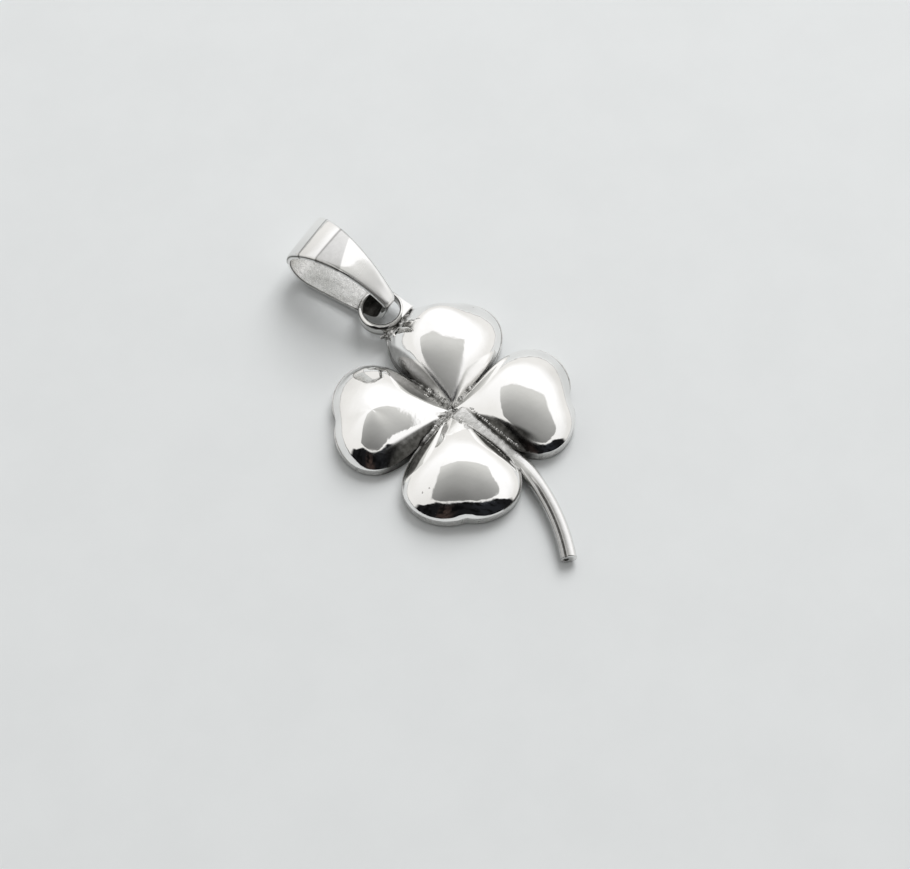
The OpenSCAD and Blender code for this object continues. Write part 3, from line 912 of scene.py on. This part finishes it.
def studio():
    """White tent round the part, as a sky by direction. In degrees from the zenith, with x to the
    right of the picture and y away from the camera, a grey panel hangs overhead and towards the
    camera. Past a thin white gap the dark room shows in the tent's opening behind it."""
    world = bpy.data.worlds.new("studio")
    bpy.context.scene.world = world
    world.use_nodes = True
    tree = world.node_tree
    sky = tree.nodes["Background"]
    ray = tree.nodes.new("ShaderNodeTexCoord").outputs["Generated"]
    ray = vector_math(tree, "NORMALIZE", ray).outputs[0]
    right = (np.cos(AZIMUTH), np.sin(AZIMUTH), 0)
    away = (-np.sin(AZIMUTH), np.cos(AZIMUTH), 0)
    side = vector_math(tree, "DOT_PRODUCT", ray, right).outputs["Value"]
    ahead = vector_math(tree, "DOT_PRODUCT", ray, away).outputs["Value"]
    up = vector_math(tree, "DOT_PRODUCT", ray, (0, 0, 1)).outputs["Value"]
    zenith = math(tree, "DEGREES", math(tree, "ARCCOSINE", up))
    flat = math(tree, "SQRT", math(tree, "ADD", math(tree, "MULTIPLY", side, side),
                                   math(tree, "ADD", math(tree, "MULTIPLY", ahead, ahead), 1e-6)))
    scale = math(tree, "DIVIDE", zenith, flat)
    x = math(tree, "MULTIPLY", side, scale)
    y = math(tree, "MULTIPLY", ahead, scale)

    def both(*masks):
        """The product of the masks."""
        total = masks[0]
        for mask in masks[1:]:
            total = math(tree, "MULTIPLY", total, mask)
        return total

    # Grey panel overhead
    near, far = -50, 20
    left_edge = ramp(tree, y, near, far, -41, -39, smooth=False)
    right_edge = ramp(tree, y, near, far, 65, 47, smooth=False)
    panel = both(ramp(tree, math(tree, "SUBTRACT", x, left_edge), -1.5, 1.5),
                 ramp(tree, math(tree, "SUBTRACT", x, right_edge), -1.5, 1.5, 1.0, 0.0),
                 ramp(tree, y, far, far + 4, 1.0, 0.0), ramp(tree, zenith, 55.5, 57.0, 1.0, 0.0))
    shade = tree.nodes.new("ShaderNodeValToRGB")
    link(tree, ramp(tree, y, near, far, smooth=False), shade.inputs[0])
    stops = shade.color_ramp.elements
    stops[0].position, stops[0].color = 0.0, (0.20, 0.20, 0.195, 1)
    stops[1].position, stops[1].color = 0.95, (0.70, 0.70, 0.68, 1)
    middle = stops.new(0.5)
    middle.color = (0.40, 0.40, 0.39, 1)
    # Dark room on the camera's side, bent round the viewer
    turn = math(tree, "DEGREES", math(tree, "ARCTAN2", side, math(tree, "MULTIPLY", ahead, -1.0)))
    start = math(tree, "ADD", ramp(tree, turn, -64, -30, 18, 0), ramp(tree, turn, 52, 78, 0, 16))
    room = both(ramp(tree, math(tree, "SUBTRACT", zenith, start), 57.5, 60),
                ramp(tree, zenith, 92, 96, 1.0, 0.0),
                ramp(tree, turn, -63, -55), ramp(tree, turn, 68, 76, 1.0, 0.0))
    from_brown = math(tree, "ABSOLUTE", math(tree, "SUBTRACT", turn, -8.0))
    brown = both(ramp(tree, from_brown, 4, 16, 1.0, 0.0), ramp(tree, zenith, 58, 70))
    from_blue = math(tree, "ABSOLUTE", math(tree, "SUBTRACT", turn, 34.0))
    blue = both(ramp(tree, from_blue, 8, 24, 1.0, 0.0), ramp(tree, zenith, 52, 66, 1.0, 0.2))
    dark = mix_colour(tree, brown, (0.010, 0.010, 0.011, 1), (0.048, 0.034, 0.030, 1))
    dark = mix_colour(tree, blue, dark, (0.050, 0.056, 0.068, 1))
    clutter = noise(tree, ray, 7.0, 3.0, 0.6)
    dark = mix_colour(tree, ramp(tree, clutter, 0.48, 0.62), dark, (0.004, 0.004, 0.004, 1))
    # The tent's white, a little brighter behind and to the right, with a dim line at the horizon
    lean = ramp(tree, math(tree, "ADD", y, math(tree, "MULTIPLY", x, 0.5)), -90, 90, 0.0, 1.0)
    white = mix_colour(tree, lean, (0.86, 0.85, 0.83, 1), (1.16, 1.16, 1.17, 1))
    cream = ramp(tree, zenith, 62, 80)
    white = mix_colour(tree, cream, white, (0.88, 0.87, 0.85, 1))
    horizon = both(ramp(tree, zenith, 87.5, 89), ramp(tree, zenith, 91.5, 93, 1.0, 0.0))
    line = mix_colour(tree, ramp(tree, y, -30, 10), (0.22, 0.22, 0.21, 1), (0.62, 0.62, 0.61, 1))
    white = mix_colour(tree, horizon, white, line)
    colour = mix_colour(tree, panel, white, shade.outputs[0])
    colour = mix_colour(tree, room, colour, dark)
    link(tree, colour, sky.inputs["Color"])
    seen = tree.nodes.new("ShaderNodeLightPath").outputs["Is Diffuse Ray"]
    link(tree, ramp(tree, seen, 0, 1, 1.0, 0.66, smooth=False), sky.inputs["Strength"])


studio()


def soft_light():
    """A square soft light behind and to the right, which makes the shadows fall to the lower left."""
    lamp = bpy.data.lights.new("soft_light", "AREA")
    lamp.shape = "SQUARE"
    lamp.size = 0.36
    lamp.energy = 2.3
    piece = bpy.data.objects.new("soft_light", lamp)
    bpy.context.scene.collection.objects.link(piece)
    right = np.array([np.cos(AZIMUTH), np.sin(AZIMUTH), 0])
    away = np.array([-np.sin(AZIMUTH), np.cos(AZIMUTH), 0])
    way = 0.30 * right + 0.72 * away + np.array([0, 0, 0.80])
    way = way / np.linalg.norm(way)
    piece.location = AIM * MM + 0.6 * way
    piece.visible_glossy = False
    tilt = np.arccos(way[2])
    piece.rotation_euler = (0, tilt, np.arctan2(way[1], way[0]))


soft_light()
bpy.context.scene.view_settings.view_transform = "Standard"
